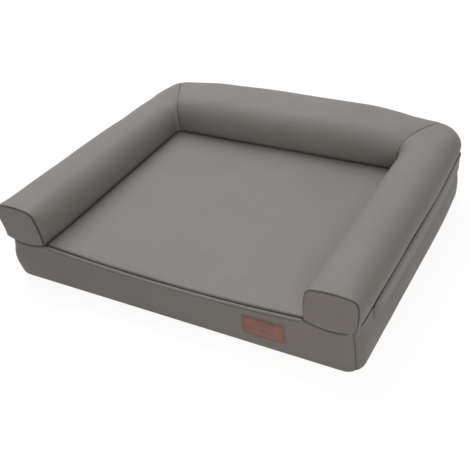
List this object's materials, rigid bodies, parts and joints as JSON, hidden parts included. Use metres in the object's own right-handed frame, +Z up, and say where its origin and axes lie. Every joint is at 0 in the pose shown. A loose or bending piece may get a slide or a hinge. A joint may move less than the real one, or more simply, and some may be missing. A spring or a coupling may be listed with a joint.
{
  "type": "orthopedic dog bed",
  "caption": "Rectangular orthopedic dog bed: foam base with a crowned sleeping panel, three-sided bolster, bare label patch and a zip hidden under a flap.",
  "frame": {"origin": "bottom centre of the bed's box, on the floor", "axes": "+X to the right along the width, +Y towards the back bolster, +Z up"},
  "size_m": [0.7104, 0.5636, 0.168],
  "materials": {
    "cover_cloth": "matte smooth faux leather",
    "patch_leather": "matte embossed edge",
    "grip_cloth": "woven, with grip dots",
    "lining_cloth": "woven lining",
    "slab_foam": "open-cell foam",
    "egg_crate_foam": "open-cell foam",
    "bolster_fill": "polyester filling",
    "zip_tape": "woven tape",
    "zip_coil": "satin",
    "zip_metal": "satin lacquer"
  },
  "bodies": {
    "bed": {"support_foam": "slab_foam", "comfort_foam": "egg_crate_foam", "bottom_panel": "grip_cloth", "front_boxing": "cover_cloth", "left_boxing": "cover_cloth", "right_boxing": "cover_cloth", "back_boxing": "cover_cloth", "sleeping_panel": "cover_cloth", "bolster_floor": "lining_cloth", "front_piping": "cover_cloth", "label_patch": "patch_leather", "left_sleeve": "cover_cloth", "back_sleeve": "cover_cloth", "right_sleeve": "cover_cloth", "left_end_cap": "cover_cloth", "right_end_cap": "cover_cloth", "left_bolster_core": "bolster_fill", "back_bolster_core": "bolster_fill", "right_bolster_core": "bolster_fill", "zip_flap": "cover_cloth", "lower_tape": "zip_tape", "upper_tape": "zip_tape", "lower_coil": "zip_coil", "upper_coil": "zip_coil", "lower_top_stop": "zip_metal", "upper_top_stop": "zip_metal", "bottom_stop": "zip_metal"},
    "slider": {"zip_slider": "zip_metal"},
    "tab": {"pull_tab": "zip_metal"}
  },
  "joints": [
    {"name": "zip_slide", "type": "slide", "parent": "bed", "child": "slider", "axis": [0, 1, 0], "range_m": [0, 0.4]},
    {"name": "pull_tab_swing", "type": "hinge", "parent": "slider", "child": "tab", "pos_m": [-0.35045, -0.1875, 0.08393], "axis": [0, 0, -1], "range_deg": [0, 180]}
  ]
}
